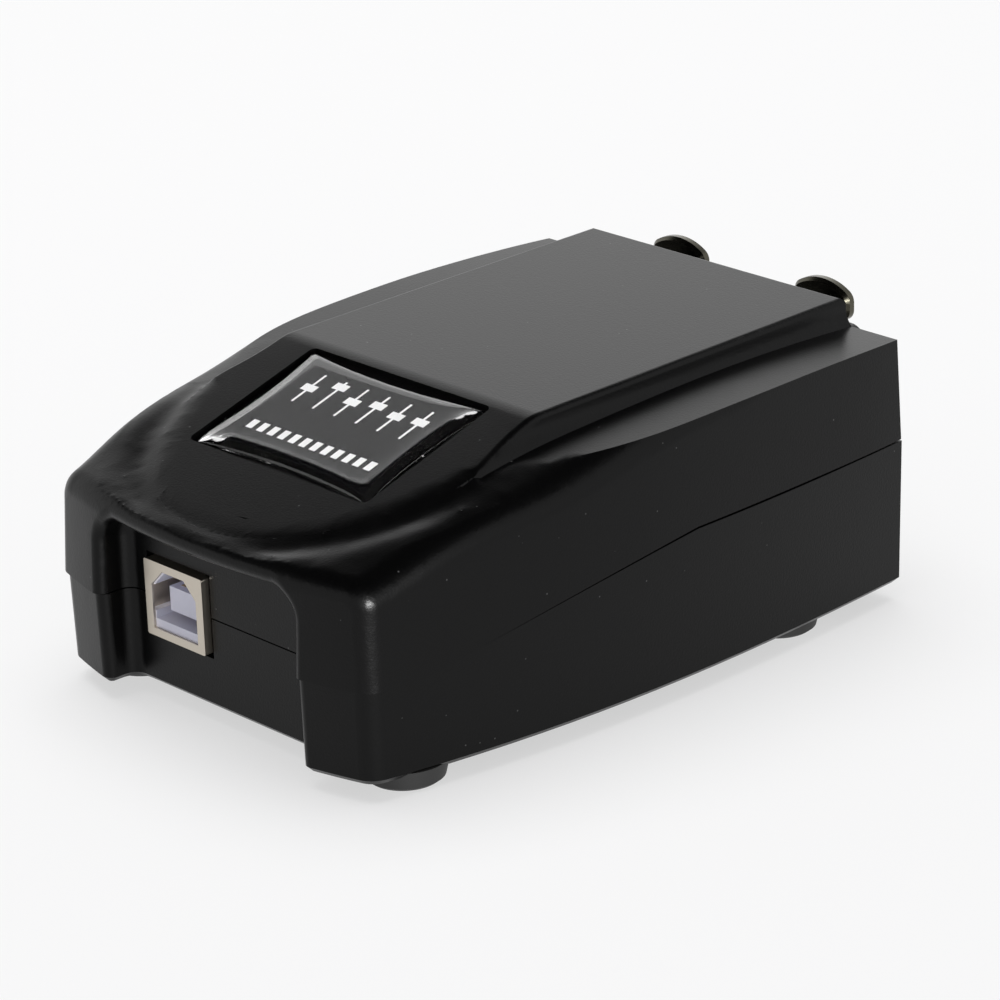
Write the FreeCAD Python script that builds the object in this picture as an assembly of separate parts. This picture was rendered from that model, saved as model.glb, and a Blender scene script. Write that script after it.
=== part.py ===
import FreeCAD, Part
import math
import os

V = FreeCAD.Vector

# Overall case. Lengths are millimetres, angles are degrees.
body_length = 100.7
half_width = 37.3
case_height = 40.0
foot_height = 2.45
tab_reach = 8.3
wall = 2.2
overrun = 5.0

# Walls of the two shells: bowed front and sides, lean of the walls, rounded edges.
front_bow_radius = 105.0
front_edge_radius = 3.6
upper_lean = 3.0
lower_lean = 1.2
shell_step = 0.15
waist_height = 17.5
upper_skirt_height = 9.5
front_side_bow = 7.1
rear_side_bow = 1.8
side_peak_share = 0.585
plan_station_shares = (-0.05, 0.12, 0.29, 0.585, 0.8, 1.02)
underside_edge_chamfer = 0.8

# Rolled hood that rises from the front, by station along the case:
# share of the length, height share, lateral tilt and roll radius share.
hood_station_shares = (
    (-0.047, 0.645, 4.5, 0.85),
    (0.053, 0.724, 4.5, 0.85),
    (0.152, 0.807, 5.5, 0.85),
    (0.251, 0.882, 8.0, 0.90),
    (0.331, 0.948, 13.0, 1.00),
    (0.410, 1.012, 16.0, 1.05),
    (0.529, 1.069, 15.5, 1.00),
    (0.688, 1.104, 14.5, 1.00),
    (0.847, 1.133, 13.0, 1.00),
    (1.020, 1.158, 12.0, 1.00),
)
inner_hood_station_shares = hood_station_shares[::3]
roll_radius = 5.0

# Shoulder ledge beside the deck, as shares of the length and the height.
ledge_points_shares = ((0.261, 0.851), (0.37, 0.884), (0.52, 0.902), (0.72, 0.914), (1.0, 0.902))

# Raised deck and the sloping tongue in front of it.
deck_half_width = 24.95
deck_flare = 2.0
deck_flare_height = 36.1
deck_flare_softness = 0.6
crown_levels = 15
deck_fall = 0.8
deck_crease_share = 0.405
crease_round = 9.0
tongue_slope = 16.9
tongue_lean = 0.4
tongue_base_height = 25.5
nose_centre_share = 0.311
nose_length = 28.9
nose_top_length = 24.7
crown_edge_radius = 0.9

# Parting line between the two shells: level, a long ramp, level again.
parting_front = 13.1
parting_middle = 17.75
parting_rear = 21.45
parting_start_share = 0.118
parting_middle_share = 0.33
parting_end_share = 0.58
parting_gap = 0.2

# Cable recess in the front.
recess_half_width = 19.7
recess_height = 24.75
recess_depth = 7.3
recess_corner_radius = 4.0
recess_root_radius = 2.0
mouth_edge_radius = 1.4

# Label pocket on the tongue, with a printed film and a clear resin dome.
label_centre_share = 0.283
label_width = 35.7
label_length = 23.8
pocket_depth = 1.0
pocket_corner_radius = 1.0
film_thickness = 0.15
dome_thickness = 1.2
dome_edge_chamfer = 0.6
label_gap = 0.35
label_edge_bow = 2.0

# Type B socket in the recess.
usb_offset = 9.3
usb_bottom = 7.89
usb_width = 12.0
usb_height = 10.9
usb_length = 16.0
usb_protrusion = 1.0
usb_skin = 0.35
usb_fold_radius = 0.3
usb_mouth_width = 9.2
usb_mouth_height = 8.6
usb_mouth_chamfer = 2.3
usb_cutout_gap = 0.55
usb_fit = 0.05
usb_cavity_depth = 9.5
tongue_block_width = 5.6
tongue_block_height = 3.5
tongue_block_setback = 1.2
usb_ledge_height = 1.3
usb_side_gap_height = 3.8
contact_width = 1.0
contact_thickness = 0.25
contact_pitch = 2.5
contact_setback = 1.5
leg_width = 1.5
leg_length = 3.0
leg_fit = 0.2

# Circuit board and what stands on it.
board_side_gap = 1.7
board_length = 56.0
board_thickness = 1.6
board_setback = 0.8
board_hole_inset = 3.2
board_screw_radius = 1.2
board_head_radius = 2.3
board_head_height = 1.7
standoff_radius = 2.9
chip_height = 1.6
chip_side = 10.0
chip_pin_reach = 1.0
chip_pin_width = 0.35
chip_pin_pitch = 0.8
chip_pins_per_side = 11
chip_place_shares = (0.12, 0.42)
crystal_place_shares = (-0.17, 0.42)
capacitor_place_share = 0.18
driver_place_share = 0.76
driver_width = 3.9
driver_length = 4.9
driver_pin_pitch = 1.27
driver_pins_per_side = 4
crystal_width = 4.6
crystal_length = 10.8
crystal_height = 3.5
capacitor_radius = 3.0
capacitor_height = 7.5
header_width = 7.4
header_depth = 5.6
header_height = 6.0
header_wall = 0.8
header_offset = 12.0

# Panel sockets in the rear, one each side of the middle.
socket_offset = 14.2
socket_height = 20.25
flange_width = 26.0
flange_height = 31.0
flange_thickness = 1.8
flange_corner_radius = 2.8
barrel_radius = 11.9
barrel_length = 21.0
barrel_cutout_gap = 0.3
socket_bore_radius = 9.6
socket_bore_depth = 16.0
insert_radius = 7.75
insert_fit = 0.1
sleeve_fit = 0.03
insert_base = 2.0
insert_recess = 0.8
contact_circle_radius = 4.0
pin_bore_radius = 1.25
pin_bore_length = 10.0
sleeve_radius = 1.7
solder_cup_radius = 1.3
solder_cup_length = 5.0
flange_hole_x = 9.5
flange_hole_z = 12.0
flange_screw_radius = 1.45
flange_screw_length = 8.0
flange_head_radius = 2.7
flange_head_height = 1.7
screw_gap = 0.1
cross_slot_width = 0.8
boss_radius = 3.0
flange_boss_length = 5.0

# Latch of each panel socket: a rocking lever with a thumb tab outside.
latch_box_half_width = 5.6
latch_box_height = 16.4
latch_slot_half_width = 3.9
latch_slot_height = 15.3
latch_slot_depth = 12.0
lever_half_width = 3.3
lever_bottom = 12.6
lever_thickness = 1.3
lever_inner_reach = 9.5
lever_outer_reach = 6.4
tab_half_width = 5.3
tab_thickness = 1.9
tab_bottom = 13.0
tab_height = 5.6
tab_arch = 1.8
tab_corner_radius = 1.8
tab_edge_chamfer = 0.5
hook_half_width = 1.5
hook_length = 1.6
hook_drop = 3.8
pivot_inset = 1.6
pivot_height = 13.2
pivot_radius = 0.75
pivot_boss_radius = 1.5
pivot_fit = 0.05
pivot_seat_fit = 0.02
spring_half_width = 1.4
spring_thickness = 0.2
spring_reach = 6.5
spring_gap = 0.05
spring_bend_share = 0.25

# Case screws and their posts, by share of the length.
case_post_shares = (0.241, 0.728)
case_post_inset = 8.7
case_post_radius = 3.9
case_post_rise = 0.9
case_screw_radius = 1.45
case_screw_bite = 9.0
case_head_radius = 2.7
case_head_height = 2.0
case_head_gap = 0.25
case_seat_height = 6.5

# Rubber feet.
foot_radius = 6.0
foot_base_radius = 5.3
foot_pocket = 0.5
foot_fit = 0.2
front_foot_inset = 10.5
rear_foot_inset = 8.5
front_foot_share = 0.14
rear_foot_share = 0.817
foot_edge_chamfer = 0.5

# Derived frame: the origin is the middle of the box over case and tabs, on the table.
overall_length = body_length + tab_reach
front_setback = (recess_height - waist_height) * math.tan(math.radians(upper_lean))
front_y = -(overall_length + front_setback) / 2
rear_y = front_y + body_length
panel_y = front_y + recess_depth
base_z = foot_height
floor_z = base_z + wall
board_half_width = half_width - case_post_inset - case_post_radius - board_side_gap
board_top = base_z + usb_bottom
board_bottom = board_top - board_thickness
board_front = panel_y + wall + board_setback
socket_z = base_z + socket_height


def at_length(share):
    return front_y + body_length * share


def side_half_width(share):
    if share < side_peak_share:
        return half_width - front_side_bow * (1 - share / side_peak_share) ** 2
    return half_width - rear_side_bow * ((share - side_peak_share) / (1 - side_peak_share)) ** 2


def loop(points):
    return Part.Wire([Part.makeLine(a, b) for a, b in zip(points, points[1:] + points[:1])])


def block(x_span, y_span, z_span):
    """Box from its low and high place along each axis."""
    size = [high - low for low, high in (x_span, y_span, z_span)]
    return Part.makeBox(size[0], size[1], size[2], V(x_span[0], y_span[0], z_span[0]))


def rod(radius, start, end):
    along = end - start
    return Part.makeCylinder(radius, along.Length, start, along)


def at_both_sides(x):
    return (-x, x)


def across_the_case(face_edges):
    """Solid with the given side view, wider than the case."""
    reach = half_width + overrun
    face = Part.Face(Part.Wire(face_edges))
    face.translate(V(-reach, 0, 0))
    return face.extrude(V(2 * reach, 0, 0))


def shell_section(y, waist_x, bottom, top, tilt_deg, radius):
    """Closed cross section of the upper shell at one station, with round shoulders
    tangent to the leaning side and to the crowned top."""
    lean = math.radians(upper_lean)
    tilt = math.radians(tilt_deg)
    waist_z = base_z + waist_height
    reach = waist_x * math.cos(lean) - (top - waist_z) * math.sin(lean)
    reach -= radius * (1 - math.sin(tilt + lean))
    crown = reach / (math.sin(tilt) * math.cos(lean) - (1 - math.cos(tilt)) * math.sin(lean))
    top_x = crown * math.sin(tilt)
    top_z = top - crown * (1 - math.cos(tilt))
    centre_x = top_x - radius * math.sin(tilt)
    centre_z = top_z - radius * math.cos(tilt)
    middle = (lean + math.pi / 2 - tilt) / 2

    def half(sign):
        foot = V(sign * (waist_x + (waist_z - bottom) * math.tan(lean)), y, bottom)
        arc = [V(sign * (centre_x + radius * math.cos(a)), y, centre_z + radius * math.sin(a))
               for a in (lean, middle)]
        return [foot] + arc + [V(sign * top_x, y, top_z)]

    foot_r, side_r, roll_r, top_r = half(1)
    foot_l, side_l, roll_l, top_l = half(-1)
    return Part.Wire([
        Part.makeLine(foot_l, foot_r),
        Part.makeLine(foot_r, side_r),
        Part.Arc(side_r, roll_r, top_r).toShape(),
        Part.Arc(top_r, V(0, y, top), top_l).toShape(),
        Part.Arc(top_l, roll_l, side_l).toShape(),
        Part.makeLine(side_l, foot_l),
    ])


def leaning_front(inset, low, high, lean_deg):
    """Tall cone whose front side is the bowed front wall between two heights."""
    centre = V(0, front_y + front_bow_radius, base_z + low)
    slope = math.tan(math.radians(lean_deg))
    waist_radius = front_bow_radius - inset
    low_radius = waist_radius + (waist_height - low) * slope
    high_radius = waist_radius - (high - waist_height) * slope
    return Part.makeCone(low_radius, high_radius, high - low, centre)


def round_front(form):
    """Roll the bowed front into the sides and the top with one radius."""
    edges = []
    for face in form.Faces:
        if face.Surface.TypeId == "Part::GeomCone":
            middle = (form.BoundBox.ZMin + form.BoundBox.ZMax) / 2
            for edge in face.Edges:
                flat_low = edge.BoundBox.ZMax < middle and edge.BoundBox.XLength > half_width
                if not flat_low:
                    edges.append(edge)
    return form.makeFillet(front_edge_radius, edges)


def upper_blank(inset):
    """Hood form of the upper shell, still without its flat shoulder, deck and tongue.
    The inside form is plainer: every third station and square front corners."""
    skirt = base_z + upper_skirt_height
    sections = []
    stations = inner_hood_station_shares if inset > 0 else hood_station_shares
    for share, height_share, tilt, roll_share in stations:
        radius = roll_radius * roll_share - inset
        top = base_z + case_height * height_share - inset
        sections.append(shell_section(at_length(share), side_half_width(share) - inset,
                                      skirt, top, tilt, radius))
    loft = Part.makeLoft(sections, True, False)
    high = case_height * hood_station_shares[-1][1] + overrun
    form = loft.common(leaning_front(inset, upper_skirt_height, high, upper_lean))
    if inset > 0:
        return form
    return round_front(form)


def lower_blank(inset):
    bottom = base_z + inset
    top = base_z + parting_rear + overrun
    slope = math.tan(math.radians(lower_lean))
    sections = []
    for share in plan_station_shares:
        y = at_length(share)
        waist_x = side_half_width(share) - shell_step - inset
        foot_x = waist_x - (base_z + waist_height - bottom) * slope
        brim_x = waist_x + (top - base_z - waist_height) * slope
        corners = [V(-foot_x, y, bottom), V(foot_x, y, bottom), V(brim_x, y, top), V(-brim_x, y, top)]
        sections.append(loop(corners))
    loft = Part.makeLoft(sections, True, False)
    low = bottom - base_z
    form = loft.common(leaning_front(inset + shell_step, low, top - base_z, -lower_lean))
    if inset > 0:
        return form
    corners = [e for e in form.Edges
               if e.BoundBox.ZLength > (top - bottom) / 2 and e.BoundBox.YMax < at_length(side_peak_share)]
    return form.makeFillet(front_edge_radius, corners)


def tongue_height(y):
    """Height of the sloping tongue's surface above the table."""
    crease_y = at_length(deck_crease_share)
    crease_z = base_z + case_height - deck_fall
    return crease_z - (crease_y - y) * math.tan(math.radians(tongue_slope))


def smooth_curve(points):
    curve = Part.BSplineCurve()
    curve.interpolate(points)
    return curve.toShape()


def shoulder_limit(inset):
    """Everything under the flat shoulder ledge, level in front of the ledge's tip."""
    points = [V(0, at_length(a), base_z + case_height * b - inset) for a, b in ledge_points_shares]
    front = front_y - overrun
    front_z = points[0].z
    rear = rear_y - inset
    points[-1].y = rear
    return across_the_case([
        Part.makeLine(V(0, front, base_z), V(0, front, front_z)),
        Part.makeLine(V(0, front, front_z), points[0]),
        smooth_curve(points),
        Part.makeLine(points[-1], V(0, rear, base_z)),
        Part.makeLine(V(0, rear, base_z), V(0, front, base_z)),
    ])


def nose_curve(z, half, nose):
    """Half ellipse from the left side round the tip to the right side."""
    nose_y = at_length(nose_centre_share)
    stretch = FreeCAD.Matrix()
    stretch.A11 = half
    stretch.A22 = nose
    stretch.A24 = nose_y
    stretch.A34 = z
    unit = Part.Arc(V(-1, 0, 0), V(0, -1, 0), V(1, 0, 0)).toShape()
    return unit.transformGeometry(stretch)


def crown_half_width(z):
    """Half width of the deck and tongue: nearly upright walls with a soft flare at the foot."""
    above = (z - base_z - deck_flare_height) / deck_flare_softness
    climb = (z - base_z - tongue_base_height) / (case_height - tongue_base_height)
    return deck_half_width + deck_flare / (1 + math.exp(above)) + tongue_lean * (1 - climb)


def crown_column(inset):
    """Upright column over the deck and tongue, higher than the case."""
    low = base_z + tongue_base_height - wall
    high = base_z + case_height + wall
    rear = rear_y - inset
    nose_y = at_length(nose_centre_share)

    def outline(z):
        climb = (z - base_z - tongue_base_height) / (case_height - tongue_base_height)
        half = crown_half_width(z) - inset
        nose = nose_length + (nose_top_length - nose_length) * climb - inset
        return Part.Wire([
            nose_curve(z, half, nose),
            Part.makeLine(V(half, nose_y, z), V(half, rear, z)),
            Part.makeLine(V(half, rear, z), V(-half, rear, z)),
            Part.makeLine(V(-half, rear, z), V(-half, nose_y, z)),
        ])

    count = 1 if inset > 0 else crown_levels
    levels = [low + (high - low) * step / count for step in range(count + 1)]
    return Part.makeLoft([outline(z) for z in levels], True, False)


def crown_limit(inset):
    """Everything under the deck and the sloping tongue, with a soft crease between them."""
    low = base_z + tongue_base_height - wall
    rear = rear_y - inset
    front = front_y - overrun
    crease = V(0, at_length(deck_crease_share), base_z + case_height - deck_fall - inset)
    top_rear = V(0, rear, base_z + case_height - inset)
    top_front = V(0, front, tongue_height(front) - inset)
    limit = across_the_case([
        Part.makeLine(V(0, front, low), top_front),
        Part.makeLine(top_front, crease),
        Part.makeLine(crease, top_rear),
        Part.makeLine(top_rear, V(0, rear, low)),
        Part.makeLine(V(0, rear, low), V(0, front, low)),
    ])
    ridge = [e for e in limit.Edges
             if e.BoundBox.YLength < overrun / 2 and abs(e.BoundBox.YMin - crease.y) < overrun / 2]
    return limit.makeFillet(crease_round, ridge)


def crown_form(inset):
    """Raised deck with the sloping tongue in front of it."""
    crown = crown_column(inset).common(crown_limit(inset))
    if inset > 0:
        return crown
    low = crown.BoundBox.ZMin + crown_edge_radius
    rear = rear_y - crown_edge_radius
    rim = [e for e in crown.Edges if e.BoundBox.ZMin > low
           and (e.BoundBox.YLength > crown_edge_radius or e.BoundBox.YMin > rear)]
    return crown.makeFillet(crown_edge_radius, rim)


def parting_profile(lift):
    """Side view of the parting line as an open chain, front to rear."""
    front = front_y - overrun
    rear = rear_y + overrun
    start, middle, end = (V(0, at_length(share), base_z + height + lift) for share, height in (
        (parting_start_share, parting_front), (parting_middle_share, parting_middle),
        (parting_end_share, parting_rear)))
    return [
        Part.makeLine(V(0, front, start.z), start),
        Part.Arc(start, middle, end).toShape(),
        Part.makeLine(end, V(0, rear, end.z)),
    ]


def beyond_parting(lift, far_z):
    """Everything between the parting line and a level above or below the case."""
    chain = parting_profile(lift)
    first = chain[0].Vertexes[0].Point
    last = chain[-1].Vertexes[-1].Point
    far_last = V(0, last.y, far_z)
    far_first = V(0, first.y, far_z)
    closing = [Part.makeLine(last, far_last), Part.makeLine(far_last, far_first),
               Part.makeLine(far_first, first)]
    return across_the_case(chain + closing)


def recess_block(grow):
    """Space of the cable recess, with round top corners and a round root."""
    half = recess_half_width + grow
    top = base_z + recess_height + grow
    back = panel_y + grow
    space = block((-half, half), (front_y - overrun, back), (base_z - overrun, top))
    crests = [e for e in space.Edges
              if e.BoundBox.YLength > recess_depth and e.BoundBox.ZMin > base_z]
    space = space.makeFillet(recess_corner_radius, crests)
    root = [e for e in space.Edges
            if e.BoundBox.YMin > back - wall / 2 and e.BoundBox.ZMax > base_z]
    return space.makeFillet(recess_root_radius, root)


def mouth_edges(form):
    """Edges where the recess opens through the bowed front, without the lowest ones."""
    reach = recess_half_width + mouth_edge_radius
    return [e for e in form.Edges
            if e.BoundBox.YMax < panel_y - recess_depth / 2
            and e.BoundBox.XMax < reach and e.BoundBox.XMin > -reach
            and e.BoundBox.ZMax > base_z + wall]


def usb_opening():
    half = usb_width / 2 + usb_cutout_gap
    low = base_z + usb_bottom - usb_cutout_gap
    high = base_z + usb_bottom + usb_height + usb_cutout_gap
    return block((-usb_offset - half, -usb_offset + half), (panel_y - wall, panel_y + wall + overrun),
                 (low, high))


def socket_openings():
    """Round holes in the rear wall, each with a notch for the latch box."""
    holes = []
    for x in at_both_sides(socket_offset):
        inside = rear_y - wall - overrun
        outside = rear_y + overrun
        hole = rod(barrel_radius + barrel_cutout_gap, V(x, inside, socket_z), V(x, outside, socket_z))
        half = latch_box_half_width + barrel_cutout_gap
        notch = block((x - half, x + half), (inside, outside),
                      (socket_z, socket_z + latch_box_height + barrel_cutout_gap))
        holes.append(hole.fuse(notch))
    return holes


def label_placement(depth):
    """Frame on the tongue: X across, Y up the slope, Z out of the surface."""
    y = at_length(label_centre_share)
    place = V(0, y, tongue_height(y))
    turn = FreeCAD.Rotation(V(1, 0, 0), tongue_slope)
    return FreeCAD.Placement(place + turn.multVec(V(0, 0, -depth)), turn)


def label_pocket():
    half = label_width / 2
    long_half = label_length / 2
    pocket = block((-half, half), (-long_half, long_half), (0, pocket_depth + overrun))
    corners = [e for e in pocket.Edges if e.BoundBox.ZLength > pocket_depth]
    pocket = pocket.makeFillet(pocket_corner_radius, corners)
    pocket.Placement = label_placement(pocket_depth)
    return pocket


def drawn_in_label(gap, bow, low, high):
    """Four-cornered label whose edges bow inwards between pointed corners."""
    half = label_width / 2 - gap
    long_half = label_length / 2 - gap
    corners = [V(-half, -long_half, low), V(half, -long_half, low),
               V(half, long_half, low), V(-half, long_half, low)]
    edges = []
    for start, end in zip(corners, corners[1:] + corners[:1]):
        middle = (start + end) / 2
        inwards = V(0, 0, low) - middle
        middle = middle + inwards.normalize() * bow
        edges.append(Part.Arc(start, middle, end).toShape())
    return Part.Face(Part.Wire(edges)).extrude(V(0, 0, high - low))


def label_parts():
    film = drawn_in_label(label_gap, label_edge_bow, 0, film_thickness)
    dome = drawn_in_label(label_gap, label_edge_bow, film_thickness, film_thickness + dome_thickness)
    rim = [e for e in dome.Edges if e.BoundBox.ZMin > film_thickness + dome_thickness / 2]
    dome = dome.makeChamfer(dome_edge_chamfer, rim)
    film.Placement = label_placement(pocket_depth)
    dome.Placement = label_placement(pocket_depth)
    return film, dome


def case_posts():
    return [V(x, at_length(share), 0) for share in case_post_shares
            for x in at_both_sides(half_width - case_post_inset)]


def post_join(place):
    """Height at which a lower post meets the boss of the upper shell."""
    share = (place.y - front_y) / body_length
    if share < parting_middle_share:
        return base_z + parting_middle
    return base_z + parting_rear + case_post_rise


def flange_bosses():
    """Places of the socket screws on the rear wall, high and low on each socket."""
    places = []
    for x in at_both_sides(socket_offset):
        for sign in (1, -1):
            places.append(V(x - sign * flange_hole_x, rear_y, socket_z + sign * flange_hole_z))
    return places


def board_holes():
    front = board_front + board_hole_inset
    rear = board_front + board_length - board_hole_inset
    side = board_half_width - board_hole_inset
    return [V(x, y, 0) for y in (front, rear) for x in at_both_sides(side)]


def upper_cavity():
    hollow = upper_blank(wall).common(shoulder_limit(wall)).fuse(crown_form(wall))
    return hollow.cut(recess_block(wall))


def upper_housing():
    hood = upper_blank(0).common(shoulder_limit(0))
    case = hood.cut(crown_column(0).cut(crown_limit(0))).fuse(crown_form(0))
    rear_limit = block((-half_width - overrun, half_width + overrun),
                       (front_y - overrun, rear_y), (0, base_z + case_height + overrun))
    case = case.common(rear_limit).cut(recess_block(0))
    case = case.makeFillet(mouth_edge_radius, mouth_edges(case))
    cavity = upper_cavity()
    shell = case.cut(cavity.common(inside_rear_wall()))
    above = base_z + case_height + 2 * overrun
    shell = shell.common(beyond_parting(parting_gap, above))
    for place in case_posts():
        join = post_join(place)
        boss = rod(case_post_radius, V(place.x, place.y, join), V(place.x, place.y, above))
        pilot = rod(case_screw_radius + screw_gap / 2, V(place.x, place.y, join - overrun),
                    V(place.x, place.y, join + case_screw_bite + screw_gap))
        shell = shell.fuse(boss.common(cavity)).cut(pilot)
    for place in flange_bosses():
        if place.z > socket_z:
            shell = shell.fuse(flange_boss(place).common(cavity))
            shell = shell.cut(flange_pilot(place))
    shell = shell.cut(usb_opening()).cut(label_pocket())
    return shell.cut(socket_openings())


def inside_rear_wall():
    reach = half_width + overrun
    return block((-reach, reach), (front_y - overrun, rear_y - wall),
                 (-overrun, base_z + case_height + overrun))


def flange_boss(place):
    return rod(boss_radius, V(place.x, place.y - flange_boss_length, place.z),
               V(place.x, place.y - wall / 2, place.z))


def flange_pilot(place):
    depth = flange_screw_length - flange_thickness + screw_gap
    return rod(flange_screw_radius + screw_gap / 2, V(place.x, place.y - depth, place.z),
               V(place.x, place.y + overrun, place.z))


def lower_cavity():
    reach = half_width + overrun
    hollow = lower_blank(wall).common(inside_rear_wall())
    return hollow.cut(recess_block(wall)).common(
        block((-reach, reach), (front_y, rear_y), (floor_z, base_z + case_height)))


def lower_housing():
    reach = half_width + overrun
    rear_limit = block((-reach, reach), (front_y - overrun, rear_y),
                       (base_z, base_z + case_height))
    case = lower_blank(0).common(rear_limit).cut(recess_block(0))
    case = case.makeFillet(mouth_edge_radius, mouth_edges(case))
    rim = [e for e in case.Edges if e.BoundBox.ZMax < base_z + wall / 2]
    case = case.makeChamfer(underside_edge_chamfer, rim)
    cavity = lower_cavity()
    shell = case.cut(cavity).common(beyond_parting(0, base_z - overrun))
    for place in case_posts():
        join = post_join(place)
        post = rod(case_post_radius, V(place.x, place.y, floor_z - wall / 2), V(place.x, place.y, join))
        seat = base_z + case_seat_height
        shaft = rod(case_screw_radius + screw_gap, V(place.x, place.y, base_z - overrun),
                    V(place.x, place.y, join + overrun))
        head = rod(case_head_radius + case_head_gap, V(place.x, place.y, base_z - overrun),
                   V(place.x, place.y, seat))
        shell = shell.fuse(post).cut(shaft).cut(head)
    for place in board_holes():
        standoff = rod(standoff_radius, V(place.x, place.y, floor_z - wall / 2),
                       V(place.x, place.y, board_bottom))
        pilot = rod(board_screw_radius + screw_gap / 2, V(place.x, place.y, floor_z),
                    V(place.x, place.y, board_bottom + overrun))
        shell = shell.fuse(standoff).cut(pilot)
    for place in flange_bosses():
        if place.z < socket_z:
            shell = shell.fuse(flange_boss(place).common(cavity))
            shell = shell.cut(flange_pilot(place))
    for place in foot_places():
        pocket = rod(foot_radius + foot_fit, V(place.x, place.y, base_z - overrun),
                     V(place.x, place.y, base_z + foot_pocket))
        shell = shell.cut(pocket)
    shell = shell.cut(usb_opening())
    return shell.cut(socket_openings())


def foot_places():
    rows = ((front_foot_share, front_foot_inset), (rear_foot_share, rear_foot_inset))
    return [V(x, at_length(share), 0) for share, inset in rows
            for x in at_both_sides(half_width - inset)]


def foot(place):
    height = foot_height + foot_pocket
    shape = Part.makeCone(foot_base_radius, foot_radius, height, V(place.x, place.y, 0))
    sole = [e for e in shape.Edges if e.BoundBox.ZMax < foot_height / 2]
    return shape.makeChamfer(foot_edge_chamfer, sole)


def chamfered_mouth(width, height, chamfer, y_low, y_high):
    """Opening of the type B socket: two cut corners at the top."""
    x = -usb_offset
    mid = base_z + usb_bottom + usb_height / 2
    low = mid - height / 2
    high = mid + height / 2
    half = width / 2
    corners = [V(x - half, y_low, low), V(x + half, y_low, low), V(x + half, y_low, high - chamfer),
               V(x + half - chamfer, y_low, high), V(x - half + chamfer, y_low, high),
               V(x - half, y_low, high - chamfer)]
    return Part.Face(loop(corners)).extrude(V(0, y_high - y_low, 0))


def usb_shell():
    x = -usb_offset
    front = panel_y - usb_protrusion
    half = usb_width / 2
    low = base_z + usb_bottom
    high = low + usb_height
    can = block((x - half, x + half), (front, front + usb_length), (low, high))
    folds = [e for e in can.Edges if e.BoundBox.YLength > usb_length / 2]
    can = can.makeFillet(usb_fold_radius, folds)
    inside = block((x - half + usb_skin, x + half - usb_skin),
                   (front + usb_skin, front + usb_length + overrun), (low + usb_skin, high - usb_skin))
    can = can.cut(inside)
    mouth = chamfered_mouth(usb_mouth_width, usb_mouth_height, usb_mouth_chamfer,
                            front - overrun, front + wall)
    can = can.cut(mouth)
    underside = block((x - half + usb_skin, x + half - usb_skin),
                      (usb_leg_y() - wall, front + usb_length + overrun),
                      (low - overrun, low + usb_skin))
    can = can.cut(underside)
    for side in (x - half, x + half - usb_skin):
        leg = block((side, side + usb_skin), (usb_leg_y(), usb_leg_y() + leg_width),
                    (low - leg_length, low + usb_skin + leg_width))
        can = can.fuse(leg)
    return can


def usb_leg_y():
    return panel_y - usb_protrusion + usb_length / 2


def usb_contact_bars():
    """Four bent contacts: two over the centre block and two under it."""
    x = -usb_offset
    front = panel_y - usb_protrusion
    mid = base_z + usb_bottom + usb_height / 2
    rear = front + usb_length
    bars = []
    for level, sign in ((mid + tongue_block_height / 2, 1), (mid - tongue_block_height / 2, -1)):
        for dx in at_both_sides(contact_pitch / 2):
            low, high = sorted((level, level - sign * contact_thickness))
            across = (x + dx - contact_width / 2, x + dx + contact_width / 2)
            tail = rear if sign > 0 else rear - contact_pitch
            bar = block(across, (front + tongue_block_setback + contact_setback, tail), (low, high))
            leg = block(across, (tail - contact_thickness, tail), (board_bottom - contact_width, high))
            bars.append(bar.fuse(leg).removeSplitter())
    return bars


def usb_insulator():
    x = -usb_offset
    front = panel_y - usb_protrusion + usb_skin + usb_fit
    half = usb_width / 2 - usb_skin - usb_fit
    low = base_z + usb_bottom + usb_skin + usb_fit
    high = base_z + usb_bottom + usb_height - usb_skin - usb_fit
    mid = base_z + usb_bottom + usb_height / 2
    body = block((x - half, x + half), (front, front + usb_length - wall), (low, high))
    cavity = chamfered_mouth(usb_mouth_width - usb_skin, usb_mouth_height - usb_skin,
                             usb_mouth_chamfer, front - overrun, front + usb_cavity_depth)
    centre = block((x - tongue_block_width / 2, x + tongue_block_width / 2),
                   (front + tongue_block_setback, front + usb_cavity_depth + usb_skin),
                   (mid - tongue_block_height / 2, mid + tongue_block_height / 2))
    side_gap = block((x - half - overrun, x + half + overrun), (front - overrun, front + usb_cavity_depth),
                     (mid - usb_side_gap_height / 2, mid + usb_side_gap_height / 2))
    ledge = block((x - half, x + half), (front, front + usb_length - wall),
                  (low, mid - usb_mouth_height / 2 + usb_ledge_height))
    body = body.cut(cavity).cut(side_gap).fuse(ledge).fuse(centre)
    for bar in usb_contact_bars():
        body = body.cut(bar)
    return body


def circuit_board():
    rear = board_front + board_length
    board = block((-board_half_width, board_half_width), (board_front, rear), (board_bottom, board_top))
    for place in board_holes():
        hole = rod(board_screw_radius + screw_gap, V(place.x, place.y, board_bottom - overrun),
                   V(place.x, place.y, board_top + overrun))
        board = board.cut(hole)
    half = usb_width / 2
    for side in (-usb_offset - half, -usb_offset + half - usb_skin):
        slot = block((side - leg_fit, side + usb_skin + leg_fit),
                     (usb_leg_y() - leg_fit, usb_leg_y() + leg_width + leg_fit),
                     (board_bottom - overrun, board_top + overrun))
        board = board.cut(slot)
    for bar in usb_contact_bars():
        box = bar.BoundBox
        foot_hole = block((box.XMin - leg_fit, box.XMax + leg_fit),
                          (box.YMax - contact_thickness - leg_fit, box.YMax + leg_fit),
                          (board_bottom - overrun, board_top + overrun))
        board = board.cut(foot_hole)
    return board


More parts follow.
